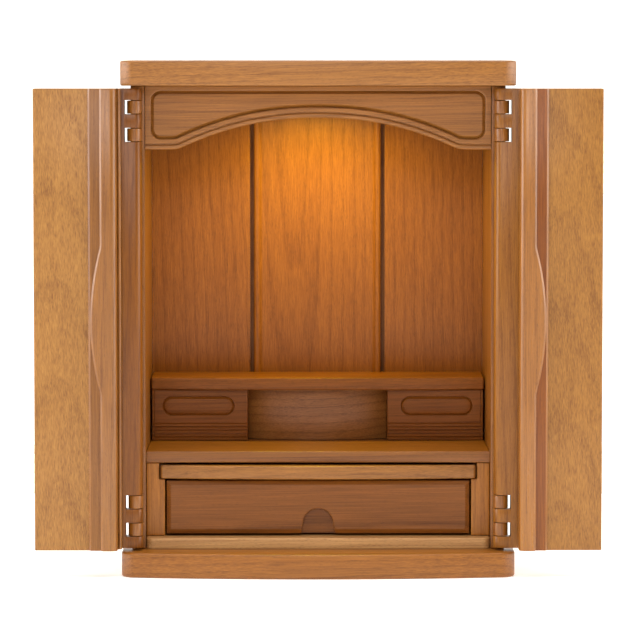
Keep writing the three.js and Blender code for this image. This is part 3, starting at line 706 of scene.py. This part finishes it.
# %% Carve the drawer front
low, high = corners("drawer_front")
PULL_HALF, PULL_TOP, PULL_DEEP, PULL_FLARE = 18.8, 27.5, 8.0, 2.3
SLOPE_WIDE, SLOPE_DEEP = 4.9, 2.3
arch_radius = PULL_HALF - PULL_FLARE
spring = PULL_TOP - arch_radius
round_x = arch_radius * np.cos(np.radians(np.arange(0, 181, 5)))[::-1]
rim = steps_from((0, 8, 0.4))
cheek = steps_from((arch_radius, PULL_HALF, 0.575), (PULL_HALF, PULL_HALF + 2.4, 0.4))
side = np.concatenate([cheek, steps_from((25, high[0] - 9, 5.0)), high[0] - rim[::-1]])
x = np.unique(np.concatenate([-side, round_x, side]).round(4))
arch = np.where(np.abs(x) <= arch_radius, spring + np.sqrt(np.maximum(arch_radius**2 - x**2, 0)),
                np.clip((PULL_HALF - np.abs(x)) / PULL_FLARE, 0, 1) * spring)
height = high[2] - low[2]
rows = np.concatenate([rim, steps_from((9, height - 9, 0.9)), height - rim[::-1]])
z = np.maximum(rows[None], arch[:, None])
edge = np.minimum(high[0] - np.abs(x)[:, None], np.minimum(z, height - z))
depth = 0.5 * (edge < 0.01) + SLOPE_DEEP * np.clip(1 - edge / SLOPE_WIDE, 0, 1)
to_arch = np.hypot(x[:, None], np.maximum(z - spring, 0)) - arch_radius
to_arch = to_arch - np.clip(spring - z, 0, spring) * 0.21
depth = np.maximum(depth, soft_edge(np.maximum(to_arch, 0), 1.1))
front, back = low[1], high[1]
inside = np.stack([np.broadcast_to(x[:, None], (len(x), 4)),
                   np.broadcast_to([back, back, front + PULL_DEEP, front + PULL_DEEP], (len(x), 4)),
                   np.stack([0 * x + height, 0 * x, 0 * x, arch], 1)], -1)
carved = np.stack([np.broadcast_to(x[:, None], z.shape), front + depth, z], -1)
rings = np.concatenate([carved, inside], 1) + [0, 0, low[2]]
make("drawer_front_wood", loft(rings), drawer_wood, "cabinet", ["drawer_front"])
print("drawer front grid:", z.shape, "recess", PULL_DEEP, "mm deep")

# %% [markdown]
# ## Platform
# Two boxes carry the upper shelf, and a panel between them bulges forward. Each box front has a long
# rounded ring with a slightly pillowed middle, and fine reeds along its foot. The ring is a groove at
# a fixed distance from a straight line, which gives round ends for nothing.

# %% Carve the box fronts
low, high = corners("platform_front_right")
x = steps_from((low[0], high[0], 0.55))
rows = steps_from((low[2], low[2] + 23, 0.35), (low[2] + 23, high[2], 0.5))
z = np.broadcast_to(rows[None], (len(x), len(rows)))
RING_OFF_CENTRE, RING_LEVEL, RING_REACH, RING_OUTER = 1.6, 38.9, 29.6, 10.7
centre, level, reach = (low[0] + high[0]) / 2 + RING_OFF_CENTRE, low[2] + RING_LEVEL, RING_REACH
along = np.maximum(np.abs(x[:, None] - centre) - reach, 0)
away = np.hypot(along, z - level)
depth = undercut(RING_OUTER - away, 2.7, 2.3) + 0.5 * np.clip(away / 8, 0, 1) ** 4 * (away < 8)
for line in (3, 7, 10.8, 14.6, 18.4):
    gap = np.abs(z - low[2] - line - 0.55)
    depth = depth + cove(gap + 0.65, 1.3, 1.1) * (gap < 0.65)
QUIRK_FROM_WALL = 2.6
quirk = np.abs(high[0] - x[:, None] - QUIRK_FROM_WALL)
depth = np.maximum(depth, cove(quirk + 0.7, 1.4, 1.0) * (quirk < 0.7))
beside, above = np.minimum(x - low[0], high[0] - x)[:, None], np.minimum(z - low[2], high[2] - z)
rim = np.minimum(beside, above)
depth = np.maximum(depth, soft_edge(rim, 0.9))
shape = relief_board(x, z, depth, low[1], high[1])
make_pair("box_front_{}_wood", shape, inner_across, "platform_front_{}")
print("box front grid:", z.shape)

# %% Bend the panel between the boxes
low, high = corners("platform_centre")
half, crown, rise, thick = high[0], low[1], 20.0, 6.0
radius = (half**2 + rise**2) / (2 * rise)
x = np.linspace(-half, half, 65)
front_line = np.stack([x, crown + radius - np.sqrt(radius**2 - x**2)], 1)
outline = np.concatenate([front_line, (front_line + [0, thick])[::-1]])
make("platform_centre_wood", slab(outline, low[2], high[2], 0.5, "z"), bent_wood_and_sheen, "cabinet",
     ["platform_centre"])
print("bend radius in mm:", round(float(radius), 1))

# %% [markdown]
# ## Hung leaves
# The leaf next to the case has a full round along its hinge edge, slotted where the case's knuckles
# pass. It is built as a maker would: a flat board, with round-edged lengths between the slots.

# %% Make the hung leaves
SLOT, PLAY = 10.6, 0.6
slot_edge = AXIS[0] + SLOT
leaf_end = hung_high[0]
front, back = hung_low[1], hung_high[1]
round_edge = np.concatenate([[[slot_edge, back]], arc(AXIS, BARREL, 90, 270, 28), [[slot_edge, front]]])
starts = [hung_low[2]] + [z + KNUCKLE_TALL + PLAY for z in knuckle_feet]
stops = [z - PLAY for z in knuckle_feet] + [hung_high[2]]
lengths = [slab(round_edge, a, b, 0.5, "z", steps=2) for a, b in zip(starts, stops)]
flat_board = rectangle(slot_edge, leaf_end, front, back)
shape = solid_sum(slab(flat_board, hung_low[2], hung_high[2], 0.5, "z", steps=2), *lengths)


def outer_face(centres):
    """1 for the broad face that shows when the doors are shut, and 0 for the rest."""
    return ((centres[:, 1] > back - 0.3) & (np.abs(centres[:, 0]) > slot_edge)).astype(int)


hung_finish = {side: [hung_wood_shaded_left[side], door_edge[side]] for side in ("left", "right")}
make_pair("hung_leaf_{}_wood", shape, hung_finish, "door_hung_leaf_{}", "{}_hung_leaf",
          outer_face)
print("hung leaf:", round(float(leaf_end - AXIS[0]), 1), "mm from axis to folding edge")

# %% [markdown]
# ## Folding leaves
# The folding leaf steps up from a broad low panel over a middle strip to a thick meeting edge, and the
# edge of the top step swells into the long wave that is the handle. The leaf is a stack of sections
# from bottom to top, and only the place of the last riser changes with height.

# %% Shape the wave
STEP_ONE, STEP_TWO, RISER = 59.0, 71.8, 2.2
STEP_HIGH = 19.5
WAVE_RADIUS, WAVE_FILLET = 300.0, 27.0
WAVE_RISE = STEP_TWO - STEP_ONE - RISER


def swell(distance):
    """How far the top step reaches out at a distance from mid-height: a large circle, eased into the
    straight line by a fillet circle at each end."""
    reach = math.sqrt(2 * WAVE_RISE * (WAVE_RADIUS + WAVE_FILLET) - WAVE_RISE**2)
    change = reach * WAVE_RADIUS / (WAVE_RADIUS + WAVE_FILLET)
    d = np.minimum(distance, reach)
    crown = WAVE_RISE - WAVE_RADIUS + np.sqrt(WAVE_RADIUS**2 - np.minimum(d, change) ** 2)
    ease = WAVE_FILLET - np.sqrt(WAVE_FILLET**2 - np.clip(reach - d, 0, reach - change) ** 2)
    return np.where(d <= change, crown, ease)


# %% Stack the leaf's sections
def leaf_section(step, has_tongue, width=90.0, thick=16.0, two=STEP_HIGH, three=24.0, turn=8.6):
    """Section as [distance from the folding edge, height above the inner face]: each step is a short
    upright wall with a 45 degree chamfer above it."""
    rise = RISER - 0.2
    first = [[STEP_ONE, thick], [STEP_ONE + 0.1, two - rise], [STEP_ONE + RISER, two]]
    second = [[step, two], [step + 0.1, three - rise], [step + RISER, three]]
    tongue = [[width, 8], [width - 4.6, 8], [width - 4.6, 0]]
    if has_tongue:
        lip = arc((width + 2.1, 5.5), 1.9, 170, 0, 12)
        tongue = np.concatenate([[[width, 5.0]], lip, [[width + 4, 0]]])
    return np.concatenate([
        [[1.2, 0], [0, 1.2]], arc((1.5, thick - 1.5), 1.5, 180, 90, 4), first, second,
        [width - turn, three - 6.0] + [turn, 6.0] * arc((0, 0), 1, 90, 0, 14), tongue,
    ])


def folding_leaf(node_name, has_tongue):
    """Rings from the leaf's foot to its head; near both ends each ring is set in for a soft arris."""
    low, high = corners(node_name)
    middle = (low[2] + high[2]) / 2
    wave = steps_from((-96, 96, 1.6))
    heights = np.concatenate([[low[2] + 1], middle + wave, [high[2] - 1]])
    swells = swell(np.abs(heights - middle))
    sections = [leaf_section(STEP_TWO - s, has_tongue) for s in swells]
    end = sections[0]
    tips = [(set_in(end, 1.0), low[2]), (set_in(end, 0.35), low[2] + 0.25)]
    heads = [(set_in(end, 0.35), high[2] - 0.25), (set_in(end, 1.0), high[2])]
    stack = tips + list(zip(sections, heights)) + heads
    fold_edge, inner = leaf_end, high[1]
    rings = [np.stack([fold_edge - s[:, 0], inner - s[:, 1], np.full(len(s), z)], 1) for s, z in stack]
    return loft(np.stack(rings))


leaf_inner = corners("door_folding_leaf_right")[1][1]
PANEL_FRONT = -115.0


def leaf_part(centres):
    """0 for the broad panel, 1 for the solid edging beyond the first step, 2 for the strip between steps."""
    beyond = (np.abs(centres[:, 0]) < leaf_end - STEP_ONE + 0.5) & (centres[:, 1] < PANEL_FRONT)
    strip = beyond & (np.abs(leaf_inner - STEP_HIGH - centres[:, 1]) < 0.3)
    return beyond + strip.astype(int)


# %% Make the folding leaves
plain_leaf = folding_leaf("door_folding_leaf_right", False)
tongued_leaf = folding_leaf("door_folding_leaf_left", True)
for side, leaf in (("right", plain_leaf), ("left", mirror(*tongued_leaf))):
    finishes = [door_panel[side], door_edge[side], door_step[side]]
    make(f"folding_leaf_{side}_wood", leaf, finishes, f"{side}_folding_leaf",
         [f"door_folding_leaf_{side}"], pick=leaf_part)
print("leaf points:", len(plain_leaf[0]), "wave", round(float(WAVE_RISE), 1), "mm deep")

# %% [markdown]
# ## Hinges between the leaves
# Each pair of leaves folds on two butt hinges. A butt hinge is two plates whose rolled edges take turns
# along one pin. Only the barrel shows, at the outer edge of the open doors, so each roll gets softened
# ends that leave a fine dark joint between neighbours.

# %% Roll the hinge halves
hinge_low, hinge_high = corners("hinge_upper_hung_half_right")
ROLL, ROLLS, WING, PLATE = 1.8, 5, 17.0, 1.0
pin = np.array([hinge_high[0] - ROLL, hinge_low[1] + ROLL])


def hinge_half(place, part):
    """A plate beside the pin, and every second roll about it from the bottom (hung) or one up (folding)."""
    low, high = corners(f"hinge_{place}_{part}_half_right")
    side = 1 if part == "hung" else -1
    reach = np.sort(pin[1] + side * np.array([0.45, 0.45 + PLATE]))
    plate = slab(rectangle(pin[0] - WING, pin[0] - 0.4, *reach), low[2], high[2], 0.2, "z", steps=2)
    joints = np.linspace(low[2], high[2], ROLLS + 1)
    turned = arc(pin, ROLL, 0, 345, 23)
    rolls = [slab(turned, joints[k] + 0.2, joints[k + 1] - 0.2, 0.4, "z", steps=3)
             for k in range(0 if part == "hung" else 1, ROLLS, 2)]
    return solid_sum(plate, *rolls)


for place in ("lower", "upper"):
    for part in ("hung", "folding"):
        shape = hinge_half(place, part)
        for side, turned in (("right", shape), ("left", mirror(*shape))):
            make(f"hinge_{place}_{part}_{side}_metal", turned, brass, f"{side}_{part}_leaf",
                 [f"hinge_{place}_{part}_half_{side}"])
print("hinge pin in mm:", pin.round(2))

# %% [markdown]
# ## Down-light
# The lamp is a shallow turned cup under the top board with a lens set into it. Both are lathe work: a
# circle whose radius changes from one height to the next, closed at the two ends.

# %% Turn the cup and the lens
def turned_piece(centre, radii, heights, steps=48):
    """Rings of a lathe-turned piece: a circle of each radius at each height."""
    round_line = arc((0, 0), 1, 0, 360 - 360 / steps, steps - 1)
    ring = round_line[None] * np.asarray(radii)[:, None, None] + centre
    level = np.broadcast_to(np.asarray(heights)[:, None, None], (*ring.shape[:2], 1))
    return loft(np.concatenate([ring, level], -1))


low, high = corners("lamp_housing")
lens_low, lens_high = corners("lamp_lens")
centre, cup = (low[:2] + high[:2]) / 2, (high[0] - low[0]) / 2
opening, lens_edge = cup - 5.0, (lens_high[0] - lens_low[0]) / 2
lip = arc((cup - 1.5, low[2] + 1.5), 1.5, -90, 0, 6)
radii = [opening, opening, opening + 0.4, *lip[:, 0], cup]
heights = [lens_high[2] + 0.3, low[2] + 0.4, low[2], *lip[:, 1], high[2]]
make("lamp_cup", turned_piece(centre, radii, heights), lamp_ring, "cabinet", ["lamp_housing"])
radii = np.linspace(0.4, lens_edge, 40)
share = radii / lens_edge
ripple = 0.14 * (1 - np.cos(radii * 2 * np.pi / 2.4))
heights = lens_low[2] + 0.9 * share**2 + ripple
shape = turned_piece(centre, [*radii, lens_edge], [*heights, lens_high[2]])
make("lamp_rippled_lens", shape, lamp_glow, "cabinet", ["lamp_lens"])
print("cup radius in mm:", round(float(cup), 1), "lens rings:", len(radii))

# %% [markdown]
# ## Floor and light
# The cabinet stands on a plain pale floor that curves up into a pale backdrop, so no line shows where
# they meet. Two soft lights stand left and right, a broad one hangs above, and a fourth stands in front.

# %% Lay the floor
def sweep():
    """A profile of floor, quarter circle and wall in the y-z plane, drawn out along x."""
    bend = arc((3.0, 1.4), 1.4, -90, 0, 24)
    profile = np.concatenate([[[-7.0, 0.0]], bend, [[4.4, 6.0]]])
    across = np.array([-7.0, 7.0])
    grid = np.stack([np.broadcast_to(across[:, None], (2, len(profile))),
                     np.broadcast_to(profile[:, 0], (2, len(profile))),
                     np.broadcast_to(profile[:, 1], (2, len(profile)))], -1)
    count = len(profile)
    first = np.arange(count - 1)
    faces = np.stack([first, first + count, first + count + 1, first + 1], -1)
    return grid.reshape(-1, 3), faces.tolist()


floor_points, floor_faces = sweep()
floor_mesh = bpy.data.meshes.new("floor")
floor_mesh.from_pydata((floor_points - [0, 0, 0.0002]).tolist(), [], floor_faces)
floor_mesh.shade_smooth()
floor_mesh.materials.append(plain_finish("floor_paper", (246, 246, 246), 0.9, grain=30.0, spread=0.01,
                                           glow=((255, 255, 255), 0.45)))
floor = bpy.data.objects.new("floor", floor_mesh)
bpy.context.scene.collection.objects.link(floor)
print("floor faces:", len(floor_faces))


# %% Hang the lights
def soft_light(name, place, target, size, power, tint=(1, 1, 1)):
    """A square area light at a place, turned towards a target, both in metres."""
    data = bpy.data.lights.new(name, "AREA")
    data.shape = "RECTANGLE"
    data.size, data.size_y = size
    data.energy = power
    data.color = tint
    light = bpy.data.objects.new(name, data)
    light.location = place
    aim = Vector(target) - Vector(place)
    light.rotation_euler = aim.to_track_quat("-Z", "Y").to_euler()
    bpy.context.scene.collection.objects.link(light)


soft_light("left light", (-2.5, -1.0, 1.1), (0, -0.9, 0.8), (2.6, 1.8), 26)
soft_light("right light", (2.5, -1.0, 1.1), (0, -0.9, 0.8), (2.6, 1.8), 20, (1.0, 0.95, 0.88))
soft_light("top light", (0, -0.9, 2.4), (0, 0, 0.3), (1.8, 1.2), 14)
soft_light("front light", (-0.2, -3.0, 1.5), (0, 0, 0.3), (1.6, 0.8), 24)

# %% [markdown]
# The cabinet's own lamp is a small glowing disc that sends most light straight down and none sideways,
# so it washes the panel behind it a hand's breadth below the ceiling. Its light is deep yellow.

# %% Light the lamp
lamp_low, lamp_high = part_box("lamp_lens")
lamp_data = bpy.data.lights.new("down light", "AREA")
lamp_data.shape = "DISK"
lamp_data.size = lamp_high.x - lamp_low.x
lamp_data.energy = 0.95
lamp_data.spread = math.radians(155)
lamp_data.color = (1.0, 0.86, 0.02)
down = bpy.data.objects.new("down light", lamp_data)
down.location = ((lamp_low.x + lamp_high.x) / 2, (lamp_low.y + lamp_high.y) / 2, lamp_low.z - 0.001)
bpy.context.scene.collection.objects.link(down)
print("lamp disc in metres:", round(lamp_data.size, 4))

# %% [markdown]
# The room is bright at its sides and overhead, and dim behind the viewer. Flat fronts then keep their
# deep colour, because they mirror the dim part, while every rounded edge picks up a pale line.

# %% Paint the room
world = bpy.data.worlds.new("pale room")
world.use_nodes = True
room = world.node_tree
sky = room.nodes["Background"]
direction = node(room, "ShaderNodeTexCoord").outputs["Generated"]
along = node(room, "ShaderNodeSeparateXYZ", {0: direction}).outputs


def bright_side(reading, start, full, strength):
    """Rises smoothly from nothing where the direction's reading is start to a strength where it is full."""
    return node(room, "ShaderNodeMapRange", {0: reading, 1: start, 2: full, 3: 0.0, 4: strength},
                interpolation_type="SMOOTHSTEP").outputs[0]


START, FULL = 0.75, 0.95
sides = sums(room, "ADD", bright_side(along[0], -START, -FULL, 5.0), bright_side(along[0], START, FULL, 4.5))
above = bright_side(along[2], START, FULL, 2.6)
glow = sums(room, "ADD", sums(room, "ADD", sides, above), 0.06)
room.links.new(glow, sky.inputs["Strength"])
sky.inputs["Color"].default_value = (1, 1, 1, 1)
bpy.context.scene.world = world
bpy.context.scene.view_settings.view_transform = "Standard"
print("lights placed:", len(bpy.data.lights))
